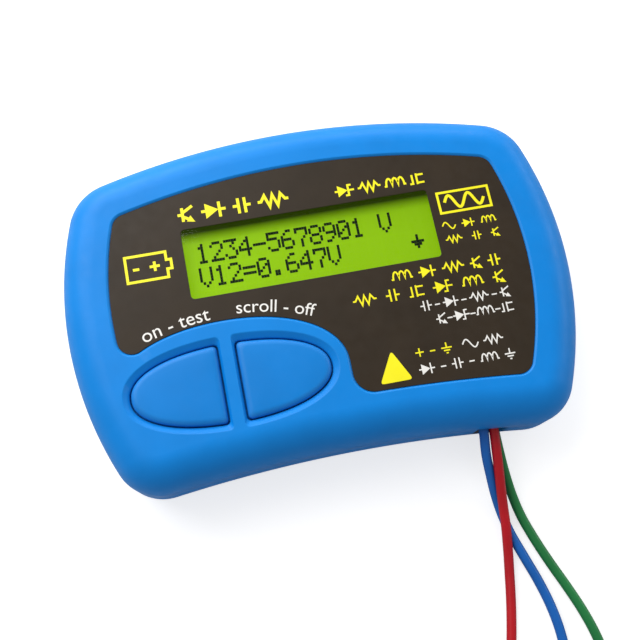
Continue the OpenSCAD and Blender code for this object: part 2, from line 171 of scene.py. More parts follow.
def edge_wear(tree, colour, lighter, amount):
    """Rubbed edges: paler where the mesh is convex, broken up by noise."""
    point = node(tree, "ShaderNodeNewGeometry").outputs["Pointiness"]
    edge = maths(tree, "MULTIPLY", ramp(tree, point, 0.505, 0.56), noise(tree, 0.9))
    return mix(tree, maths(tree, "MULTIPLY", edge, amount), colour, lighter)


def moulded(name, colour, rough=0.45, grain=0.004, wear=0.0, patch=0.1, **sockets):
    """Moulded plastic or rubber: cloudy colour, uneven gloss, fine grain and slow waviness."""
    material, tree, shader = empty_material(name, **sockets)
    cloud = ramp(tree, noise(tree, 0.12), 0.3, 0.7)
    base = mix(tree, cloud, shade(colour, 1 - patch), shade(colour, 1 + patch))
    if wear:
        base = edge_wear(tree, base, shade([c * 0.6 + 0.4 for c in colour], 1), wear)
    connect(tree, shader, "Base Color", base)
    smear = ramp(tree, noise(tree, 0.5, 5.0), 0.3, 0.7, rough * 0.85, rough * 1.15)
    connect(tree, shader, "Roughness", smear)
    layers = [(noise(tree, 5.0, 2.0), grain), (noise(tree, 0.15, 1.0), grain * 3)]
    connect(tree, shader, "Normal", bumps(tree, layers))
    return material


def metal(name, colour, rough=0.28, stretch=(1, 12, 12), scratch=0.0015, **sockets):
    """Plated or drawn metal with fine scratches along one way and dull patches."""
    material, tree, shader = empty_material(name, Metallic=1.0, **sockets)
    dull = ramp(tree, noise(tree, 0.3, 4.0), 0.35, 0.75)
    connect(tree, shader, "Base Color", mix(tree, dull, shade(colour, 1.0), shade(colour, 0.75)))
    lines = noise(tree, 1.5, 4.0, stretch)
    connect(tree, shader, "Roughness", ramp(tree, lines, 0.3, 0.7, rough * 0.7, rough * 1.4))
    connect(tree, shader, "Normal", bumps(tree, [(lines, scratch)]))
    return material


def circuit_board(name, colour):
    """Solder mask with raised tracks beneath it."""
    material, tree, shader = empty_material(name, Coat_Weight=0.4)
    place = node(tree, "ShaderNodeTexCoord").outputs["Object"]
    tracks = node(
        tree,
        "ShaderNodeTexBrick",
        [("Vector", place), ("Scale", 0.25 / MM), ("Mortar Size", 0.03), ("Mortar Smooth", 0.3)],
    ).outputs["Fac"]
    base = mix(tree, tracks, shade(colour, 0.8), shade(colour, 1.7))
    base = mix(tree, ramp(tree, noise(tree, 0.3), 0.3, 0.8, 0.0, 0.3), base, shade(colour, 0.6))
    connect(tree, shader, "Base Color", base)
    connect(tree, shader, "Roughness", ramp(tree, noise(tree, 1.0), 0.3, 0.7, 0.25, 0.4))
    connect(tree, shader, "Normal", bumps(tree, [(tracks, 0.03), (noise(tree, 4.0), 0.002)]))
    return material


def lit_panel(name, colour, glow, strength):
    """Display cell lit from its sides, with the frame's shadow painted darker along its top, and a
    faint grid of unlit dots.
    """
    sockets = {"Emission_Strength": strength, "Specular_IOR_Level": 0.1}
    material, tree, shader = empty_material(name, **sockets)
    place = node(tree, "ShaderNodeTexCoord").outputs["Object"]
    x, y, _ = node(tree, "ShaderNodeSeparateXYZ", [(0, place)]).outputs
    side = ramp(tree, x, *[end * MM for end in DISPLAY_ENDS])
    cloud = maths(tree, "ADD", side, ramp(tree, noise(tree, 0.06, 1.0), 0.3, 0.7, -0.15, 0.15))
    masks = []
    for axis, start, pitch, dot, count in (
        (x, TEXT_X, CHAR_PITCH, DOT_X, 5),
        (y, ROW_TOP[1], ROW_PITCH, DOT_Y, 8),
    ):
        # Whole pitches are added to keep what the modulo works on above zero.
        shifted = maths(tree, "ADD", axis, (20 * pitch - start) * MM)
        cell = maths(tree, "MODULO", shifted, pitch * MM)
        if axis is y:
            cell = maths(tree, "SUBTRACT", pitch * MM, cell)
        spot = maths(tree, "MODULO", cell, dot * MM)
        within = maths(tree, "LESS_THAN", cell, dot * count * MM)
        on_dot = maths(tree, "LESS_THAN", spot, dot * 0.86 * MM)
        masks.append(maths(tree, "MULTIPLY", within, on_dot))
    grid = maths(tree, "MULTIPLY", maths(tree, "MULTIPLY", *masks), 0.05)
    # Painted shadow of the frame: the colour darkens towards the display's top edge.
    painted_frame_shadow = maths(tree, "POWER", ramp(tree, y, *[end * MM for end in DISPLAY_SHADE]), 1.8)
    for socket, paint in (("Base Color", colour), ("Emission Color", glow)):
        lit = mix(tree, cloud, shade(paint, 1.12), shade(paint, 0.95))
        # The lit colour fades into the painted frame shadow near the top.
        lit = mix(tree, painted_frame_shadow, lit, shade(paint, 0.08))
        connect(tree, shader, socket, mix(tree, grid, lit, shade(paint, 0.1)))
    connect(tree, shader, "Roughness", ramp(tree, noise(tree, 1.0), 0.3, 0.7, 0.25, 0.35))
    connect(tree, shader, "Normal", bumps(tree, [(noise(tree, 2.0), 0.001)]))
    return material


def clear_sheet(name):
    """Thin clear acrylic: it passes light straight on and mirrors by angle, with faint smears."""
    material, tree, shader = empty_material(name)
    tree.nodes.remove(shader)
    facing = node(tree, "ShaderNodeLayerWeight", [("Blend", 0.5)]).outputs["Facing"]
    grazing = maths(tree, "MULTIPLY", maths(tree, "POWER", facing, 5.0), 0.6)
    fresnel = maths(tree, "ADD", grazing, 0.008)
    wave = bumps(tree, [(noise(tree, 0.05, 1.0), 0.01)])
    gloss = node(tree, "ShaderNodeBsdfGlossy", [("Normal", wave)])
    connect(tree, gloss, "Roughness", ramp(tree, noise(tree, 0.4, 4.0), 0.3, 0.8, 0.02, 0.12))
    through = node(tree, "ShaderNodeBsdfTransparent", [("Color", (0.93, 0.96, 0.92, 1))])
    inputs = [(0, fresnel), (1, through.outputs[0]), (2, gloss.outputs[0])]
    both = node(tree, "ShaderNodeMixShader", inputs)
    connect(tree, tree.nodes["Material Output"], "Surface", both.outputs[0])
    return material


# ---- display text and dots
DISPLAY_ENDS = (-27, 25)  # the light changes slowly from one end to the other
DISPLAY_SHADE = (12.3, 15.4)  # the frame's shadow deepens from the first y to the second
CHAR_PITCH = 2.9
DOT_X, DOT_Y = 0.54, 0.61
DOT_FILL = 0.97
ROW_PITCH = 5.1
ROW_TOP = (12.8, 7.7)
TEXT_X = -23.8

# ---- colours and materials
BLUE = (0.002, 0.226, 0.69)
LEAD_COLOURS = {
    "red": (0.52, 0.004, 0.012),
    "green": (0.014, 0.2, 0.05),
    "blue": (0.005, 0.13, 0.5),
}


def make_materials():
    """One Blender material for each of the record's material slots."""
    black = (0.02, 0.02, 0.021)
    steel = (0.62, 0.61, 0.6)
    cap_blue = shade(BLUE, 0.9)[:3]
    brown = (0.028, 0.018, 0.009)
    made = {
        "case": moulded("case", BLUE, 0.42, wear=0.06, patch=0.04, Specular_IOR_Level=0.2),
        "buttons": moulded(
            "buttons", cap_blue, 0.42, wear=0.2, patch=0.04, Specular_IOR_Level=0.22
        ),
        "label": moulded("label", brown, 0.45, 0.002, patch=0.12, Specular_IOR_Level=0.25),
        "rear_label": moulded("rear_label", (0.55, 0.55, 0.56), 0.35, 0.003, Metallic=0.5),
        "window": clear_sheet("window"),
        "screw_steel": metal("screw_steel", (0.45, 0.45, 0.46), 0.35),
        "switch_plunger": moulded("switch_plunger", (0.04, 0.04, 0.04)),
        "black_plastic": moulded("black_plastic", black, 0.5, 0.006),
        "sheet_steel": metal("sheet_steel", steel),
        "dome_steel": metal("dome_steel", (0.7, 0.6, 0.38), 0.2),
        "circuit_board": circuit_board("circuit_board", (0.015, 0.16, 0.05)),
        "light_guide": lit_panel("light_guide", (0.5, 0.75, 0.05), (0.35, 0.6, 0.0), 0.5),
        "display_cell": lit_panel("display_cell", (0.12, 0.2, 0.004), (0.3, 0.58, 0.0), 0.75),
        "contact_rubber": moulded("contact_rubber", (0.05, 0.05, 0.05), 0.6, 0.01),
        "epoxy": moulded("epoxy", (0.016, 0.016, 0.018), 0.42, 0.006),
        "white_plastic": moulded("white_plastic", (0.78, 0.78, 0.75), 0.4),
        "gold_pins": metal("gold_pins", (0.9, 0.66, 0.26), 0.2),
        "tinned_legs": metal("tinned_legs", (0.72, 0.72, 0.71), 0.3),
        "crystal_can": metal("crystal_can", (0.75, 0.74, 0.72), 0.22),
        "ferrite": moulded("ferrite", (0.05, 0.05, 0.055), 0.7, 0.015),
        "capacitor_sleeve": moulded("capacitor_sleeve", (0.02, 0.03, 0.16), 0.25, 0.002),
        "ceramic": moulded("ceramic", (0.5, 0.36, 0.22), 0.5, 0.004),
        "resistor_body": moulded("resistor_body", (0.02, 0.02, 0.02), 0.35, 0.003),
        "cell_jacket": moulded("cell_jacket", (0.65, 0.28, 0.03), 0.25, 0.002, Coat_Weight=0.4),
        "nickel": metal("nickel", (0.74, 0.71, 0.66), 0.25),
        "grommet_rubber": moulded("grommet_rubber", (0.025, 0.025, 0.025), 0.65, 0.012),
        "solder": metal("solder", (0.76, 0.76, 0.77), 0.2, (1, 1, 1), 0.01),
        "hook_steel": metal("hook_steel", (0.78, 0.74, 0.6), 0.16),
        "spring_steel": metal("spring_steel", (0.6, 0.6, 0.61), 0.22),
    }
    for name, colour in LEAD_COLOURS.items():
        made[f"{name}_lead"] = moulded(
            f"{name}_lead", colour, 0.38, 0.002, Specular_IOR_Level=0.35
        )
        made[f"{name}_probe"] = moulded(
            f"{name}_probe", colour, 0.36, 0.006, wear=0.3, Specular_IOR_Level=0.4
        )
    return made


# ---- meshes
class Skin:
    """Collects rings and faces of a mesh, in millimetres."""

    def __init__(self):
        self.points, self.faces = [], []

    def ring(self, outline, z):
        """A level ring of points. Returns their numbers."""
        return self.ring3([(p[0], p[1], z) for p in outline])

    def ring3(self, points):
        first = len(self.points)
        self.points += [tuple(p) for p in points]
        return list(range(first, len(self.points)))

    def bridge(self, a, b):
        for i in range(len(a)):
            j = (i + 1) % len(a)
            self.faces.append((a[i], a[j], b[j], b[i]))

    def loft(self, rings):
        for a, b in zip(rings, rings[1:]):
            self.bridge(a, b)

    def fill(self, outer, holes=()):
        """A flat face between an outer ring and the holes in it."""
        used = [i for loop in (outer, *holes) for i in loop]
        flat = [Vector(self.points[i][:2]) for i in used]
        loops, edges, start = [], [], 0
        for loop in (outer, *holes):
            n = len(loop)
            loops.append(flat[start : start + n])
            edges += [(start + k, start + (k + 1) % n) for k in range(n)]
            start += n
        _, _, triangles, origin, _, _ = delaunay_2d_cdt(flat, edges, [], 0, 1e-6)
        for t in triangles:
            corner = [origin[v][0] for v in t]
            middle = sum((flat[c] for c in corner), Vector((0, 0))) / 3
            if inside(middle, loops[0]) and not any(inside(middle, h) for h in loops[1:]):
                self.faces.append(tuple(used[c] for c in corner))


def inside(point, loop):
    """True if point lies within the closed loop."""
    crossed = False
    for a, b in zip(loop, loop[1:] + loop[:1]):
        if (a.y > point.y) != (b.y > point.y):
            crossed ^= point.x < a.x + (point.y - a.y) / (b.y - a.y) * (b.x - a.x)
    return crossed


def mesh(name, skin, material, body, sharp=35, place=None):
    """Makes the skin into an object that rides on a CAD body."""
    data = bpy.data.meshes.new(name)
    points = [Vector(p) * MM for p in skin.points]
    if place is not None:
        points = [place @ p for p in points]
    data.from_pydata(points, [], skin.faces)
    work = bmesh.new()
    work.from_mesh(data)
    bmesh.ops.remove_doubles(work, verts=work.verts, dist=1e-8)
    bmesh.ops.recalc_face_normals(work, faces=work.faces)
    work.to_mesh(data)
    work.free()
    data.polygons.foreach_set("use_smooth", [True] * len(data.polygons))
    data.set_sharp_from_angle(angle=math.radians(sharp))
    data.materials.append(material)
    made = bpy.data.objects.new(name, data)
    bpy.context.scene.collection.objects.link(made)
    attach(made, body)
    return made


def round_turns(count):
    return [2 * math.pi * k / count for k in range(count)]


def lathe(profile, axis, count=48):
    """Skin of a closed profile of (along, radius) points, turned about the x or z axis."""
    skin = Skin()
    rings = []
    for along, r in profile:
        turned = [(r * math.cos(t), r * math.sin(t)) for t in round_turns(count)]
        rings.append(skin.ring3([(along, *p) if axis == "x" else (*p, along) for p in turned]))
    skin.loft([*rings, rings[0]])
    return skin


def smooth_path(points, steps=6):
    """Catmull-Rom curve through the points."""
    p = [np.array(v, float) for v in points]
    p = [2 * p[0] - p[1], *p, 2 * p[-1] - p[-2]]
    curve = []
    for i in range(1, len(p) - 2):
        for k in range(steps):
            t = k / steps
            linear = p[i + 1] - p[i - 1]
            square = 2 * p[i - 1] - 5 * p[i] + 4 * p[i + 1] - p[i + 2]
            cube = 3 * p[i] - p[i - 1] - 3 * p[i + 1] + p[i + 2]
            curve.append(0.5 * (2 * p[i] + linear * t + square * t**2 + cube * t**3))
    return [*curve, p[-2]]


def wire(path, radius, sides, up):
    """Skin of a closed round wire along a path."""
    skin, rings = Skin(), []
    path = [np.array(p, float) for p in path]
    for i, centre in enumerate(path):
        ahead = path[min(i + 1, len(path) - 1)] - path[max(i - 1, 0)]
        ahead /= np.linalg.norm(ahead)
        u = np.cross(ahead, up)
        u /= np.linalg.norm(u)
        v = np.cross(u, ahead)
        spokes = [math.cos(t) * u + math.sin(t) * v for t in round_turns(sides)]
        rings.append(skin.ring3([centre + radius * spoke for spoke in spokes]))
    skin.loft(rings)
    skin.faces += [tuple(rings[0]), tuple(rings[-1])]
    return skin


# ---- outlines, as the CAD source draws them
UPPER_LOW, UPPER_HIGH = box_mm("upper_case")
HALF_W = UPPER_HIGH[0]
HALF_D = UPPER_HIGH[1]
CASE_H = UPPER_HIGH[2]
PARTING_Z = UPPER_LOW[2]
WALL = 2
FACE_ROUND, BACK_ROUND = 6.8, 6
REAR_R, SIDE_R, FRONT_R = 159, 74.6, 300
FRONT_HOLLOW = 2.2
REAR_CORNER_R, FRONT_CORNER_R = 10.8, 9
REAR_C = np.array((0, HALF_D - REAR_R))
SIDE_C = np.array((HALF_W - SIDE_R, 0.4))
FRONT_C = np.array((0, -HALF_D + FRONT_HOLLOW - FRONT_R))


def heading(v):
    return math.atan2(v[1], v[0])


def meet(c1, r1, c2, r2):
    """Where two circles cross, on the right of the line from the first centre to the second."""
    gap = np.linalg.norm(c2 - c1)
    along = (r1 * r1 - r2 * r2 + gap * gap) / (2 * gap)
    ahead = (c2 - c1) / gap
    aside = np.array((ahead[1], -ahead[0]))
    return c1 + along * ahead + math.sqrt(r1 * r1 - along * along) * aside


def arc(centre, r, start, end, steps, last=0):
    turns = [start + (end - start) * i / steps for i in range(steps + last)]
    return [np.array((centre[0] + r * math.cos(t), centre[1] + r * math.sin(t))) for t in turns]


def mirrored(points):
    return [np.array((-p[0], p[1])) for p in reversed(points)]


def rear_corner(inset, r):
    return meet(REAR_C, REAR_R - inset - r, SIDE_C, SIDE_R - inset - r)


def front_corner(inset, r, front_inset):
    return meet(FRONT_C, FRONT_R + front_inset + r, SIDE_C, SIDE_R - inset - r)


def rear_part(inset, r):
    c = rear_corner(inset, r)
    return arc(REAR_C, REAR_R - inset, math.pi / 2, heading(c - REAR_C), 24) + arc(
        c, r, heading(c - REAR_C), heading(c - SIDE_C), 16
    )


def side_part(inset, start, end):
    return arc(SIDE_C, SIDE_R - inset, start, end, 30)


def outline(inset):
    """The case's outline, moved in by inset."""
    rr, rf = max(REAR_CORNER_R - inset, 1.5), max(FRONT_CORNER_R - inset, 1.5)
    f, g = rear_corner(inset, rr), front_corner(inset, rf, inset)
    right = (
        rear_part(inset, rr)
        + side_part(inset, heading(f - SIDE_C), heading(g - SIDE_C))
        + arc(g, rf, heading(g - SIDE_C), heading(FRONT_C - g), 16)
        + arc(FRONT_C, FRONT_R + inset, heading(g - FRONT_C), math.pi / 2, 20, 1)
    )
    return right + mirrored(right)[1:-1]


OVAL_C = np.array((-21, -16.9))
OVAL_A, OVAL_B, OVAL_N = 19.3, 7.65, 2.2
ISLAND_A, ISLAND_B, ISLAND_N = 23, 12.3, 2.1
LABEL_INSET, LABEL_FRONT_INSET, LABEL_CORNER_R = 9.9, 9, 3
LOBE_R, LOBE_Y, FOOT_R = 2.9, -5.3, 4
BUTTON_GAP, BAR_W = 0.3, 3.2


def superellipse(a, b, n, t):
    c, s = math.cos(t), math.sin(t)
    x, y = (math.copysign(abs(v) ** (2 / n), v) for v in (c, s))
    return np.array((a * x, b * y))


def label_outline(grow):
    """The label's outline: the case's moved in, cut away by the island round the buttons."""
    d, r, fd = LABEL_INSET - grow, LABEL_CORNER_R + grow, LABEL_FRONT_INSET - grow
    f, g = rear_corner(d, r), front_corner(d, r, fd)
    rb = FRONT_R + fd
    foot_x = OVAL_C[0] + ISLAND_A + FOOT_R
    foot = np.array((foot_x, FRONT_C[1] + math.sqrt(rb * rb - foot_x * foot_x) + FOOT_R + grow))
    reach = SIDE_R - LABEL_INSET - LOBE_R
    lobe = np.array((-SIDE_C[0] - math.sqrt(reach**2 - (LOBE_Y - SIDE_C[1]) ** 2), LOBE_Y))
    lobe_turn = heading(np.array((-lobe[0], LOBE_Y)) - SIDE_C)
    side = arc(SIDE_C, SIDE_R - d, heading(f - SIDE_C), lobe_turn, 30, 1)
    left = mirrored(rear_part(d, r) + side)
    island = [
        OVAL_C + superellipse(ISLAND_A - grow, ISLAND_B - grow, ISLAND_N, math.radians(t))
        for t in range(0, 138, 3)
    ]
    return (
        rear_part(d, r)
        + side_part(d, heading(f - SIDE_C), heading(g - SIDE_C))
        + arc(g, r, heading(g - SIDE_C), heading(FRONT_C - g), 14)
        + arc(FRONT_C, rb, heading(g - FRONT_C), heading(foot - FRONT_C), 12)
        + arc(foot, FOOT_R + grow, math.radians(270), math.pi, 14, 1)
        + island
        + arc(lobe, LOBE_R + grow, math.radians(288), math.pi - lobe_turn, 14)
        + left[:-1]
    )


def half_oval(side, grow, bar_grow):
    """One half of the buttons' oval. grow 0 is the cap's edge."""
    a, b = OVAL_A + grow, OVAL_B + grow
    x0 = BAR_W / 2 + BUTTON_GAP - bar_grow
    x1 = x0 + 1
    y0, y1 = (b * (1 - (x / a) ** OVAL_N) ** (1 / OVAL_N) for x in (x0, x1))
    t0 = math.acos((x1 / a) ** (OVAL_N / 2))
    low, corner, high = np.array((x0, y0 - 1)), np.array((x0, y0)), np.array((x1, y1))
    shares = np.linspace(0, 1, 9)[:-1]
    bend = [(1 - s) ** 2 * low + 2 * s * (1 - s) * corner + s * s * high for s in shares]
    curve = [superellipse(a, b, OVAL_N, t0 * (1 - i / 32)) for i in range(65)]
    points = bend + curve + [np.array((p[0], -p[1])) for p in reversed(bend)]
    return [OVAL_C + np.array((side * p[0], p[1])) for p in points]


def circle(centre, r, count=40):
    return arc(centre, r, 0, 2 * math.pi, count)


def round_rect(centre, w, h, r):
    points = []
    for sx, sy, start in ((1, 1, 90), (1, -1, 0), (-1, -1, -90), (-1, 1, -180)):
        corner = (centre[0] + sx * (w / 2 - r), centre[1] + sy * (h / 2 - r))
        points += arc(corner, r, math.radians(start), math.radians(start - 90), 8, 1)
    return points


# ---- case
WINDOW_C = np.array((-0.75, 7.9))
WINDOW_W, WINDOW_H = 50.5, 14.6
LABEL_Z = CASE_H - 0.4
LEDGE_Z = 18.8
LEDGE_W, OPENING_W = 4, 1.8  # how much wider than the window its ledge and the hole below it are
UPPER_STEP_Z, LOWER_STEP_Z = 11.3, 11.2
BOSSES = [(-41.3, 12), (41.3, 12), (-37.6, -25.6), (37.6, -25.6)]
BOSS_R, BOSS_END_Z = 2.6, 9.2
PILOT_R, PILOT_END_Z = 1.25, 17
REAR_LABEL_C, REAR_LABEL_W, REAR_LABEL_H = (0, 6), 56, 24
FLANGE_LOW_Z, FLANGE_HIGH_Z, FLANGE_W = 16.8, 17.6, 0.9
POST_R, POST_END_Z = 1.9, 14.2
POST_X = {"left": -31.5, "right": -12}
QUARTER = [math.pi / 2 * i / 16 for i in range(17)]
# The soft groove where the two shells meet, as (moved in, distance from the parting plane).
PARTING_GROOVE = ((0.3, 0), (0.08, 0.1), (0, 0.35))
# Flat faces keep a narrow ring of their own next to each edge, so that edge wear stays at the edge.
GUARD = 0.12
# Bevels round the buttons and the label, as (distance out, depth down). Along the bar between the
# buttons the bevel is BAR_LIP times as wide.
BUTTON_LIP = (
    (1.3 + GUARD, 0), (1.3, 0), (1.2, 0.03), (1.08, 0.11),
    (0.32, 0.72), (0.2, 0.8), (0.08, 0.9), (0, 1.05),
)
LABEL_LIP = ((0.45 + GUARD, 0), (0.45, 0), (0.4, 0.015), (0.34, 0.05), (0.06, 0.27), (0, 0.33))
BAR_LIP = 0.4
# The groove round the rear label, as (distance out on both sides together, height).
REAR_LABEL_LIP = ((0.3 + 2 * GUARD, 0), (0.3, 0), (0.08, 0.06), (0, 0.15), (0, 0.35))


def edge_turns(skin, r, inset, z_flat, down):
    """Rings of a rounded edge, from the upright wall to the flat face at z_flat."""
    return [
        skin.ring(
            outline(inset + r * (1 - math.cos(t))), z_flat - down * r * (1 - math.sin(t))
        )
        for t in QUARTER
    ]


def upper_case(material):
    skin = Skin()
    outside = [skin.ring(outline(i), PARTING_Z + up) for i, up in PARTING_GROOVE]
    outside += edge_turns(skin, FACE_ROUND, 0, CASE_H, 1)
    outside.append(skin.ring(outline(FACE_ROUND + GUARD), CASE_H))
    skin.loft(outside)
    ceiling = CASE_H - WALL
    holes, under = [], []
    for side in (-1, 1):
        lip = [
            skin.ring(half_oval(side, BUTTON_GAP + out, BUTTON_GAP + out * BAR_LIP), CASE_H - down)
            for out, down in BUTTON_LIP
        ]
        lip.append(skin.ring(half_oval(side, BUTTON_GAP, BUTTON_GAP), ceiling))
        skin.loft(lip)
        holes.append(lip[0])
        under.append(lip[-1])
    rim = [skin.ring(label_outline(0.1 + out), CASE_H - down) for out, down in LABEL_LIP]
    rim.append(skin.ring(label_outline(0.1), LABEL_Z))
    skin.loft(rim)
    skin.fill(outside[-1], [*holes, rim[0]])
    window = [
        skin.ring(round_rect(WINDOW_C, WINDOW_W + g, WINDOW_H + g, 1), z)
        for g, z in (
            (LEDGE_W, LABEL_Z), (LEDGE_W, LEDGE_Z), (OPENING_W, LEDGE_Z), (OPENING_W, ceiling),
        )
    ]
    skin.loft(window)
    skin.fill(rim[-1], [window[0]])
    step = ((WALL / 2, PARTING_Z), (WALL / 2, UPPER_STEP_Z), (WALL, UPPER_STEP_Z))
    within = [skin.ring(outline(i), z) for i, z in step]
    within += edge_turns(skin, FACE_ROUND - WALL, WALL, ceiling, 1)
    skin.bridge(outside[0], within[0])
    skin.loft(within)
    skin.fill(within[-1], [*under, window[-1]])
    root = ceiling + 0.3
    for boss in BOSSES:
        profile = (
            (0.2, root), (BOSS_R, root), (BOSS_R, BOSS_END_Z),
            (PILOT_R, BOSS_END_Z), (PILOT_R, PILOT_END_Z), (0.2, PILOT_END_Z),
        )
        rings = [skin.ring(circle(boss, r), z) for r, z in profile]
        skin.loft([*rings, rings[0]])
    return mesh("upper_case_shell", skin, material, "case", 32)


def lower_case(material):
    skin = Skin()
    outside = [skin.ring(outline(i), PARTING_Z - down) for i, down in PARTING_GROOVE]
    outside += edge_turns(skin, BACK_ROUND, 0, 0, -1)
    skin.loft(outside)
    recess = [
        skin.ring(round_rect(REAR_LABEL_C, REAR_LABEL_W + g, REAR_LABEL_H + g, 2), z)
        for g, z in REAR_LABEL_LIP
    ]
    skin.loft(recess)
    skin.fill(recess[-1])
    holes, floors = [], []
    for boss in BOSSES:
        # Up the sunk screw hole, over the top of its pillar and down the outside to the floor.
        profile = (
            (2.45, 0), (2.3, 0.15), (2.3, 4), (1.5, 4), (1.5, 7.6), (3, 7.6), (3, 3), (2.45, WALL),
        )
        rings = [skin.ring(circle(boss, r), z) for r, z in profile]
        skin.loft(rings)
        holes.append(rings[0])
        floors.append(rings[-1])
    skin.fill(outside[-1], [recess[0], *holes])
    lip = WALL / 2 + 0.05
    step = ((lip, PARTING_Z), (lip, LOWER_STEP_Z), (WALL, LOWER_STEP_Z))
    within = [skin.ring(outline(i), z) for i, z in step]
    within += edge_turns(skin, BACK_ROUND - WALL, WALL, WALL, -1)
    skin.bridge(outside[0], within[0])
    skin.loft(within)
    skin.fill(within[-1], floors)
    return mesh("lower_case_shell", skin, material, "case", 32)


def cut_lead_slot(shell):
    """Cuts the grommet's slot out of a shell's front wall."""
    low, high = box_mm("lead_grommet")
    skin = Skin()
    x0, x1 = low[0] + 0.75, high[0] - 0.75
    sides = [(x0, -36), (x1, -36), (x1, -30), (x0, -30)]
    rings = [skin.ring(sides, z) for z in (low[2] + 0.45, high[2] - 0.45)]
    skin.loft(rings)
    skin.faces += [tuple(rings[0]), tuple(rings[1])]
    cutter = mesh("slot_cutter", skin, shell.data.materials[0], "case")
    cut = shell.modifiers.new("slot", "BOOLEAN")
    cut.operation, cut.object, cut.solver = "DIFFERENCE", cutter, "EXACT"
    graph = bpy.context.evaluated_depsgraph_get()
    result = bpy.data.meshes.new_from_object(shell.evaluated_get(graph))
    shell.modifiers.clear()
    shell.data = result
    bpy.data.objects.remove(cutter)


def push_button(name, side, material, cap_top, post):
    """Cap with soft edges and a faintly crowned face, over the flange that keeps it in."""
    skin = Skin()
    crown = [(1.3 * (1 - math.cos(t)), -0.95 * (1 - math.sin(t))) for t in QUARTER[::2]]
    steps = [(-FLANGE_W, FLANGE_LOW_Z), (-FLANGE_W, FLANGE_HIGH_Z)]
    steps += [(0, FLANGE_HIGH_Z), (0, cap_top - 1.0)]
    steps += [(i, cap_top - 0.05 + z) for i, z in crown] + [(2.6, cap_top - 0.015), (4.2, cap_top)]
    rings = [skin.ring(half_oval(side, -i, -i), z) for i, z in steps]
    skin.loft(rings)
    skin.faces.append(tuple(rings[-1]))
    foot = skin.ring(circle(post, POST_R), FLANGE_LOW_Z)
    skin.fill(rings[0], [foot])
    end = skin.ring(circle(post, POST_R), POST_END_Z)
    skin.bridge(foot, end)
    skin.faces.append(tuple(end))
    return mesh(name, skin, material, name.replace("_cap", ""), 40)


def label_plate(material):
    skin = Skin()
    top = LABEL_Z + 0.25
    edge = ((0, LABEL_Z), (0, top - 0.05), (0.05, top))
    outer = [skin.ring(label_outline(-g), z) for g, z in edge]
    inner = [
        skin.ring(round_rect(WINDOW_C, WINDOW_W + g, WINDOW_H + g, 0.8), z)
        for g, z in ((0, LABEL_Z), (0, top - 0.04), (0.08, top))
    ]
    for rings in (outer, inner):
        skin.loft(rings)
    skin.fill(outer[0], [inner[0]])
    skin.fill(outer[-1], [inner[-1]])
    return mesh("label_plate", skin, material, "case")


# ---- print on the label
PRINT_Z = LABEL_Z + 0.262
INK = 0.002


class Print(Skin):
    """Thin ink shapes on the label. Shapes that overlap lie on each other, INK apart."""

    def __init__(self):
        super().__init__()
        self.z = PRINT_Z

    def area(self, points):
        self.faces.append(tuple(self.ring(points, self.z)))
        self.z += INK

    def stroke(self, points, width, closed=False):
        """A line of even width with mitred corners."""
        p = [np.array(v, float) for v in points]
        n = len(p)
        left, right = [], []
        for i in range(n):
            before = p[i] - p[i - 1] if i or closed else p[1] - p[0]
            after = p[(i + 1) % n] - p[i] if i < n - 1 or closed else before
            a, b = before / np.linalg.norm(before), after / np.linalg.norm(after)
            across = np.array((-(a + b)[1], (a + b)[0]))
            across /= np.linalg.norm(across)
            reach = width / 2 / max(0.35, across @ np.array((-a[1], a[0])))
            left.append(p[i] + reach * across)
            right.append(p[i] - reach * across)
        left, right = self.ring(left, self.z), self.ring(right, self.z)
        self.z += INK
        for i in range(n if closed else n - 1):
            j = (i + 1) % n
            self.faces.append((left[i], left[j], right[j], right[i]))


def rounded(corners, share):
    """A polygon's corners turned into short curves."""
    p, points = [np.array(c, float) for c in corners], []
    for i, c in enumerate(p):
        a, b = c + share * (p[i - 1] - c), c + share * (p[(i + 1) % len(p)] - c)
        for t in (0, 0.25, 0.5, 0.75, 1):
            points.append((1 - t) ** 2 * a + 2 * t * (1 - t) * c + t * t * b)
    return points


def zigzag(x, w, teeth):
    """A resistor's zigzag: level at both ends, with its corners up and down in turn."""
    last = 2 * teeth
    rise = [0 if k in (0, last) else 0.38 * (1 if k % 2 else -1) for k in range(last + 1)]
    return [(x + w * k / last, 0.5 + up) for k, up in enumerate(rise)]


def wave(x, w, height, count=24):
    turns = [2 * math.pi * k / count for k in range(count + 1)]
    return [(x + w * k / count, 0.5 + height * math.sin(t)) for k, t in enumerate(turns)]


def humps(x, w, count):
    """A coil's row of half-round humps."""
    points = []
    for j in range(count):
        for k in range(9) if j == 0 else range(1, 9):
            t = math.pi * k / 8
            points.append((x + w * (j + 0.5 - 0.5 * math.cos(t)), 0.25 + 0.65 * math.sin(t)))
    return points


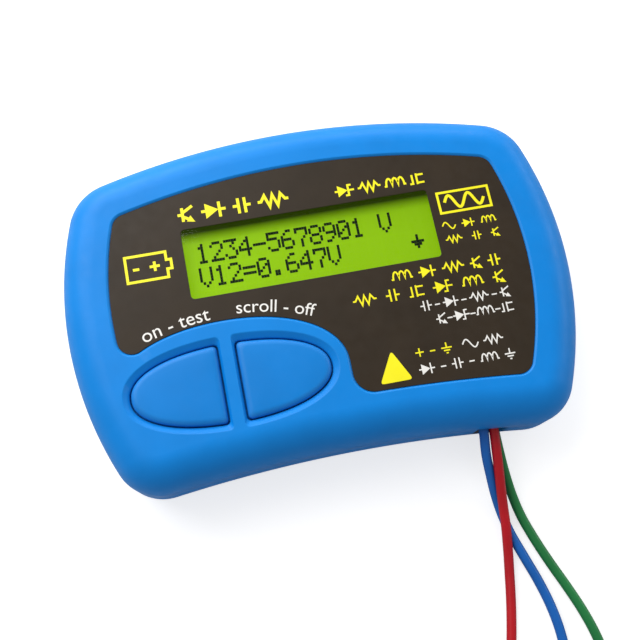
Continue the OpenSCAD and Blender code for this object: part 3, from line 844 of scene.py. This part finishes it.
# Circuit symbols, each drawn in a box one unit high: its width, its strokes and its filled areas.
ARROW_HEAD = [(0.25, 0), (1.05, 0.5), (0.25, 1)]
SYMBOLS = {
    "diode": (
        1.5,
        [[(0, 0.5), (0.3, 0.5)], [(1.15, 0.5), (1.5, 0.5)], [(1.12, 0), (1.12, 1)]],
        [ARROW_HEAD],
    ),
    "zener": (
        1.6,
        [
            [(0, 0.5), (0.3, 0.5)],
            [(1.15, 0.5), (1.6, 0.5)],
            [(0.85, 0.06), (1.12, 0.06), (1.12, 0.94), (1.4, 0.94)],
        ],
        [ARROW_HEAD],
    ),
    "resistor": (1.9, [[(0, 0.5), *zigzag(0.2, 1.5, 3), (1.9, 0.5)]], []),
    "capacitor": (
        1.1,
        [
            [(0, 0.5), (0.35, 0.5)],
            [(0.35, 0), (0.35, 1)],
            [(0.75, 0), (0.75, 1)],
            [(0.75, 0.5), (1.1, 0.5)],
        ],
        [],
    ),
    "npn": (
        1.0,
        [
            [(0, 0.5), (0.3, 0.5)],
            [(0.3, 0.05), (0.3, 0.95)],
            [(0.3, 0.62), (0.95, 1.0)],
            [(0.3, 0.38), (0.7, 0.14)],
        ],
        [[(1.0, -0.06), (0.5, 0.04), (0.76, 0.4)]],
    ),
    "gate": (
        1.2,
        [
            [(0, 0.1), (0.25, 0.1), (0.25, 0.9)],
            [(0.62, 0.02), (0.62, 0.98)],
            [(0.62, 0.85), (1.2, 0.85)],
            [(0.62, 0.15), (1.2, 0.15)],
        ],
        [],
    ),
    "sine": (1.5, [wave(0, 1.5, 0.42)], []),
    "coil": (1.8, [[(0, 0.25), *humps(0.15, 0.5, 3), (1.8, 0.25)]], []),
    "ground": (
        1.0,
        [
            [(0.5, 1), (0.5, 0.5)],
            [(0, 0.5), (1.0, 0.5)],
            [(0.2, 0.25), (0.8, 0.25)],
            [(0.4, 0), (0.6, 0)],
        ],
        [],
    ),
    "plus": (0.8, [[(0, 0.5), (0.8, 0.5)], [(0.4, 0.1), (0.4, 0.9)]], []),
    "dash": (0.5, [[(0, 0.45), (0.5, 0.45)]], []),
}


def symbol_row(ink, names, x0, x1, base, height, width):
    """The named symbols side by side, spread evenly from x0 to x1 on a baseline."""
    names = names.split()
    total = sum(SYMBOLS[n][0] for n in names) * height
    gap = (x1 - x0 - total) / (len(names) - 1)
    x = x0
    for name in names:
        wide, strokes, areas = SYMBOLS[name]
        ink.z = PRINT_Z
        for line in strokes:
            ink.stroke([(x + px * height, base + py * height) for px, py in line], width)
        for area in areas:
            ink.area([(x + px * height, base + py * height) for px, py in area])
        x += wide * height + gap


def caption(name, words, size, centre, radius, material, start_x):
    """A button's caption on an arc round the buttons."""
    data = bpy.data.curves.new(name, "FONT")
    data.body, data.size, data.extrude, data.resolution_u = words, size, 0, 4
    text = bpy.data.objects.new(name, data)
    bpy.context.scene.collection.objects.link(text)
    graph = bpy.context.evaluated_depsgraph_get()
    flat = bpy.data.meshes.new_from_object(text.evaluated_get(graph))
    bpy.data.objects.remove(text)
    skin = Skin()
    start = math.acos((start_x - centre[0]) / radius)
    for v in flat.vertices:
        turn, r = start - v.co.x / radius, radius + v.co.y
        x, y = centre[0] + r * math.cos(turn), centre[1] + r * math.sin(turn)
        skin.points.append((x, y, PRINT_Z))
    skin.faces = [tuple(p.vertices) for p in flat.polygons]
    mesh(name, skin, material, "case")


def label_print():
    yellow = moulded("ink_yellow", (0.95, 0.86, 0.0), 0.45, 0.001, patch=0.05)
    white = moulded("ink_white", (0.85, 0.83, 0.78), 0.45, 0.001, patch=0.05)
    bold, thin = Print(), Print()
    # Each row: the symbols, first and last x, baseline, height and line width.
    for row in (
        ("npn diode capacitor resistor", -26, -3.5, 16.7, 3.3, 0.6),
        ("zener resistor coil gate", 6, 24.6, 16.6, 2.5, 0.42),
        ("coil diode resistor npn capacitor", 13.4, 35.9, -3.2, 2.4, 0.34),
        ("resistor capacitor gate zener coil npn", 4.9, 35.9, -6.9, 2.5, 0.34),
        ("sine diode coil", 26, 37.2, 5.8, 1.8, 0.27),
        ("resistor capacitor npn", 26, 37.2, 2.8, 1.8, 0.27),
        ("plus dash ground", 14.7, 22.0, -19.0, 2.1, 0.28),
    ):
        symbol_row(bold, *row)
    # The battery's outline, with a bump at its right end.
    x0, x1, bump, y0, y1 = -37.6, -29.6, -28.7, 6.0, 11.3
    battery = [(x0, y0), (x1, y0), (x1, 7.7), (bump, 7.7)]
    battery += [(bump, 9.6), (x1, 9.6), (x1, y1), (x0, y1)]
    bold.stroke(battery, 0.55, closed=True)
    symbol_row(bold, "dash plus", -36.3, -31.0, 7.4, 2.5, 0.55)
    # The badge: a sine wave in a box.
    bold.stroke([(26.4, 9.5), (37.0, 9.5), (37.0, 13.9), (26.4, 13.9)], 0.5, closed=True)
    sine = [(27.6 + 8.2 * k / 40, 11.7 + 1.4 * math.sin(4 * math.pi * k / 40)) for k in range(41)]
    bold.stroke(sine, 0.6)
    bold.area(rounded([(6.75, -22.8), (13.2, -22.8), (10.1, -16.6)], 0.12))
    for row in (
        ("capacitor dash diode dash resistor dash npn", 17.8, 36.1, -10.0, 2.1, 0.27),
        ("npn dash zener dash coil dash gate", 20.3, 36, -13.1, 2.1, 0.27),
        ("sine resistor", 24.2, 32.4, -19.0, 2.1, 0.27),
        ("diode dash capacitor dash coil ground", 14.7, 34.0, -22.4, 2.1, 0.27),
    ):
        symbol_row(thin, *row)
    mesh("print_yellow", bold, yellow, "case", 60)
    mesh("print_white", thin, white, "case", 60)
    caption("caption_left", "on - test", 3.9, (-19.1, -64.0), 60, white, -36.3)
    caption("caption_right", "scroll - off", 3.65, (-20.1, -48.75), 45, white, -18.0)


# ---- display
GLYPHS = {
    "0": (" ### ", "#   #", "#  ##", "# # #", "##  #", "#   #", " ### "),
    "1": ("  #  ", " ##  ", "  #  ", "  #  ", "  #  ", "  #  ", " ### "),
    "2": (" ### ", "#   #", "    #", "   # ", "  #  ", " #   ", "#####"),
    "3": ("#####", "   # ", "  #  ", "   # ", "    #", "#   #", " ### "),
    "4": ("   # ", "  ## ", " # # ", "#  # ", "#####", "   # ", "   # "),
    "5": ("#####", "#    ", "#### ", "    #", "    #", "#   #", " ### "),
    "6": ("  ## ", " #   ", "#    ", "#### ", "#   #", "#   #", " ### "),
    "7": ("#####", "#   #", "    #", "   # ", "  #  ", "  #  ", "  #  "),
    "8": (" ### ", "#   #", "#   #", " ### ", "#   #", "#   #", " ### "),
    "9": (" ### ", "#   #", "#   #", " ####", "    #", "   # ", " ##  "),
    "V": ("#   #", "#   #", "#   #", "#   #", "#   #", " # # ", "  #  "),
    "=": ("     ", "     ", "#####", "     ", "#####", "     ", "     "),
    "-": ("     ", "     ", "     ", "#####", "     ", "     ", "     "),
    ".": ("     ", "     ", "     ", "     ", "     ", " ##  ", " ##  "),
    "v": ("     ", "  #  ", "  #  ", "#####", " ### ", "  #  ", "     "),
    " ": ("     ",) * 7,
}
DISPLAY_ROWS = ("1234-5678901 V ", "V12=0.647V     v")


def display_dots(z):
    dots = Skin()
    for text, top in zip(DISPLAY_ROWS, ROW_TOP):
        for place, letter in enumerate(text):
            for row, line in enumerate(GLYPHS[letter]):
                for column, mark in enumerate(line):
                    if mark == " ":
                        continue
                    x = TEXT_X + CHAR_PITCH * place + DOT_X * column
                    y = top - DOT_Y * row
                    w, h = DOT_X * DOT_FILL, DOT_Y * DOT_FILL
                    square = [(x, y), (x + w, y), (x + w, y - h), (x, y - h)]
                    rings = [dots.ring(square, z), dots.ring(square, z + 0.03)]
                    dots.loft(rings)
                    dots.faces += [tuple(rings[0]), tuple(rings[1])]
    ink = (0.003, 0.012, 0.002)
    dark = moulded("display_dark", ink, 0.5, 0.001, patch=0.2, Specular_IOR_Level=0.1)
    mesh("display_dots", dots, dark, "case")


# ---- leads and probes
ROUTES = {
    "red": [
        (28.9, -30.3, 9.6), (28.9, -34, 9.5), (28.6, -38.5, 8.7), (28.4, -43, 7.2),
        (28.3, -48, 5), (28.2, -53, 3.2), (27.8, -58, 1.6), (27, -63, 1),
        (26, -68, 1), (24.8, -73, 1), (23.4, -78, 1), (21.9, -82.5, 1),
        (20.3, -87, 1.2), (18.8, -91.3, 2.6), (17.2, -95.5, 4.9), (15.9, -99.3, 6.4),
        (14.8, -102.4, 6.5), (14, -105, 6.2),
    ],
    "green": [
        (29.6, -30.3, 7.2), (29.6, -34, 7.2), (29.8, -38.5, 6.2), (30.4, -43, 4.2),
        (31.3, -47.5, 2.2), (32.4, -52, 1.1), (34, -57, 1), (35.9, -62, 1),
        (38, -67, 1), (39.9, -72, 1), (41.3, -77, 1), (42, -82, 1),
        (42, -87, 1.1), (41.4, -91.5, 2.6), (40.7, -95.5, 5), (40.2, -99, 6.4),
        (40, -101.5, 6.5), (40, -104, 6.2),
    ],
    "blue": [
        (26.8, -30.3, 9.6), (26.8, -34, 9.5), (26.5, -38.5, 8.2), (26.9, -42.5, 6),
        (27.5, -46.5, 3.6), (28.3, -50.5, 1.8), (29.4, -55, 1), (31, -60, 1),
        (32.6, -65, 1), (33.8, -70, 1), (34.4, -75, 1), (34.3, -80, 1),
        (33.5, -85, 1), (32.2, -90, 1.1), (30.6, -95, 2.5), (29, -99.5, 5),
        (27.9, -103, 6.4), (27.2, -105.8, 6.5), (27, -108, 6.2),
    ],
}
LEAD_D = 2.0
PROBE_TURN = {"red": 255, "green": 272, "blue": 267}
PROBE_TILT = 6.2
# Places along a probe, from where its lead enters: thumb button's end, sleeve's start and tip.
THUMB_END_X, SLEEVE_X, TIP_X = 9.8, 16.0, 44.6
BORE_R, ROD_R, HOOK_R = 0.33, 1.2, 0.32


def probe_place(name):
    """Matrix from the probe's own frame, +X to its hook, to the row frame."""
    return (
        Matrix.Translation(Vector(ROUTES[name][-1]) * MM)
        @ Matrix.Rotation(math.radians(PROBE_TURN[name]), 4, "Z")
        @ Matrix.Rotation(math.radians(PROBE_TILT), 4, "Y")
    )


def lead(name, material):
    data = bpy.data.curves.new(f"{name}_lead_curve", "CURVE")
    data.dimensions = "3D"
    data.bevel_depth = LEAD_D / 2 * MM
    data.bevel_resolution = 5
    data.use_fill_caps = True
    path = smooth_path(ROUTES[name])
    spline = data.splines.new("POLY")
    spline.points.add(len(path) - 1)
    for point, p in zip(spline.points, path):
        point.co = (p[0] * MM, p[1] * MM, max(p[2], LEAD_D / 2) * MM, 1)
    data.materials.append(material)
    made = bpy.data.objects.new(f"{name}_lead_cable", data)
    bpy.context.scene.collection.objects.link(made)
    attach(made, "case")
    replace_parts(made, f"{name}_lead")
    return made


def thumb_profile():
    """Strain relief, flanged thumb button with four grooves, and the rod the sleeve slides on."""
    profile = [
        (0.25, 1.02), (0, 1.2), (0, 1.45), (0.4, 1.65), (3.7, 2.1), (4.0, 2.4), (4.05, 3.7),
        (4.25, 4.05), (4.6, 4.1), (5.0, 4.05), (5.25, 3.8), (5.5, 3.3),
    ]
    for k in range(4):
        x = 5.9 + 0.9 * k
        profile += [(x, 3.3), (x + 0.15, 3.05), (x + 0.45, 3.05), (x + 0.6, 3.3)]
    end = THUMB_END_X
    return profile + [
        (9.5, 3.25), (9.75, 3.1), (end, 2.9), (end, ROD_R), (24.4, ROD_R), (24.6, 1.0),
        (24.6, BORE_R), (23.0, BORE_R), (3.0, BORE_R), (3.0, 1.02),
    ]


def grip_profile():
    """Sliding sleeve: flange, seven grooves, a long taper, and the bore for the rod and hook."""
    s, tip = SLEEVE_X, TIP_X
    profile = [
        (s, 1.32), (s, 3.8), (s + 0.1, 4.1), (s + 0.4, 4.3), (s + 0.9, 4.3), (s + 1.2, 4.15),
        (s + 1.4, 3.8), (s + 1.7, 3.0), (s + 2.2, 2.78),
    ]
    for k in range(7):
        x = s + 3.0 + 1.1 * k
        profile += [(x, 2.76), (x + 0.18, 2.5), (x + 0.5, 2.5), (x + 0.68, 2.74)]
    return profile + [
        (s + 14, 2.6), (s + 16, 2.3), (s + 18, 1.72), (s + 21, 1.55), (tip - 3.5, 1.42),
        (tip - 0.5, 1.3), (tip - 0.1, 1.18), (tip, 0.95), (tip, 0.5), (32, 0.5), (31, 1.32),
    ]


def hook_path():
    """Straight through the sleeve, then bent round in a small hook past its tip."""
    bend = TIP_X + 0.35
    turns = np.linspace(0, math.radians(190), 12)
    curl = [(bend + 0.57 * math.sin(t), 0, 0.575 - 0.575 * math.cos(t)) for t in turns]
    return [(23.2, 0, 0), (30, 0, 0), (bend - 0.5, 0, 0), *curl]


def spring_path(r=1.9, turns=4, steps=24):
    """A coil on the rod, between the thumb button and the sleeve."""
    start, length = THUMB_END_X + 0.25, SLEEVE_X - THUMB_END_X - 0.45
    path = []
    for i in range(turns * steps + 1):
        t = 2 * math.pi * i / steps
        path.append((start + length * i / (turns * steps), r * math.cos(t), r * math.sin(t)))
    return path


def probe(name, made):
    """Hook probe: thumb button and rod, ribbed sleeve, sprung hook and its return spring."""
    place = probe_place(name)
    pieces = []
    for piece, stands_for, skin, body, slot, sharp in (
        ("probe_body", "probe_core", lathe(thumb_profile(), "x"), "case", f"{name}_probe", 50),
        (
            "grip_sleeve", "sleeve", lathe(grip_profile(), "x"),
            f"{name}_sleeve", f"{name}_probe", 50,
        ),
        ("hook_wire", "hook", wire(hook_path(), HOOK_R, 12, (0, 1, 0)), "case", "hook_steel", 60),
        (
            "return_spring", "probe_spring", wire(spring_path(), 0.13, 8, (1, 0, 0)),
            "case", "spring_steel", 60,
        ),
    ):
        pieces.append(mesh(f"{name}_{piece}", skin, made[slot], body, sharp, place))
        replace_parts(pieces[-1], f"{name}_{stands_for}")
    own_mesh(pieces[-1])
    return pieces


def switch_dome(side, material, centre):
    """Snap dome that flattens as its button is pressed."""
    rise = [(1.5 * math.cos(t), 0.85 * math.sin(t)) for t in QUARTER[:-1:2]]
    profile = [(1.7, 0)] + [(r + 0.08, z + 0.1) for r, z in rise]
    profile += [(0.05, 0.95), (0.05, 0.85)] + [(r, z) for r, z in reversed(rise)]
    skin = lathe([(z, r) for r, z in profile], "z", 32)
    skin.points = [(x + centre[0], y + centre[1], z + centre[2]) for x, y, z in skin.points]
    dome = mesh(f"{side}_snap_dome", skin, material, "case")
    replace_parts(dome, f"{side}_switch_dome")
    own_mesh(dome)


# ---- floor, lights and backdrop
def studio():
    data = bpy.data.meshes.new("floor")
    half, z = 3.0, -0.00005
    corners = [(-half, -half, z), (half, -half, z), (half, half, z), (-half, half, z)]
    data.from_pydata(corners, [], [(0, 1, 2, 3)])
    paper, tree, shader = empty_material("floor", Roughness=0.8, Specular_IOR_Level=0.1)
    greys = (0.6, 0.6, 0.6, 1), (0.62, 0.62, 0.62, 1)
    connect(tree, shader, "Base Color", mix(tree, noise(tree, 0.02), *greys))
    shader.inputs["Emission Color"].default_value = (1, 1, 1, 1)
    seen = node(tree, "ShaderNodeLightPath").outputs["Is Camera Ray"]
    connect(tree, shader, "Emission Strength", maths(tree, "MULTIPLY", seen, 0.66))
    data.materials.append(paper)
    floor = bpy.data.objects.new("floor", data)
    bpy.context.scene.collection.objects.link(floor)
    world = bpy.data.worlds.new("studio")
    world.use_nodes = True
    tree = world.node_tree
    sky = tree.nodes["Background"]
    sky.inputs["Color"].default_value = (0.97, 0.98, 1.0, 1)
    seen = node(tree, "ShaderNodeLightPath").outputs["Is Camera Ray"]
    connect(tree, sky, "Strength", ramp(tree, seen, 0, 1, 0.42, 0.97))
    bpy.context.scene.world = world
    target = Vector((0, 0, 0.01))
    for name, place, size, power in (
        ("key", (-0.17, 0.22, 0.27), (0.36, 0.36), 1.45),
        ("back_strip", (0, 0.5, 0.19), (0.6, 0.14), 1.2),
        ("right_strip", (0.4, 0.12, 0.15), (0.4, 0.08), 0.45),
    ):
        light = bpy.data.lights.new(name, "AREA")
        light.shape, light.size, light.size_y, light.energy = "RECTANGLE", *size, power
        lamp = bpy.data.objects.new(name, light)
        bpy.context.scene.collection.objects.link(lamp)
        lamp.location = place
        lamp.rotation_euler = (target - Vector(place)).to_track_quat("-Z", "Y").to_euler()
    bpy.context.scene.view_settings.view_transform = "Standard"


make_camera()
materials = make_materials()
for part in frame["record"]["subparts"]:
    shown = frame["nodes"][part["node"]]
    shown.data.materials.clear()
    shown.data.materials.append(materials[part["material_slot"]])

for colour_name in ROUTES:
    cable = lead(colour_name, materials[f"{colour_name}_lead"])
    on_it = probe(colour_name, materials)

top_shell = upper_case(materials["case"])
bottom_shell = lower_case(materials["case"])
for shell_piece, cad_name in ((top_shell, "upper_case"), (bottom_shell, "lower_case")):
    cut_lead_slot(shell_piece)
    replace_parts(shell_piece, cad_name)
for side_name, side_sign in (("left", -1), ("right", 1)):
    post = (POST_X[side_name], OVAL_C[1])
    cap_top = box_mm(f"{side_name}_button")[1][2]
    cap = push_button(
        f"{side_name}_button_cap", side_sign, materials["buttons"], cap_top, post
    )
    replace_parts(cap, f"{side_name}_button")
    dome_low = box_mm(f"{side_name}_switch_dome")[0][2]
    switch_dome(side_name, materials["dome_steel"], (*post, dome_low))
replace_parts(label_plate(materials["label"]), "front_label")
label_print()
display_dots(box_mm("display_glass")[1][2])
studio()
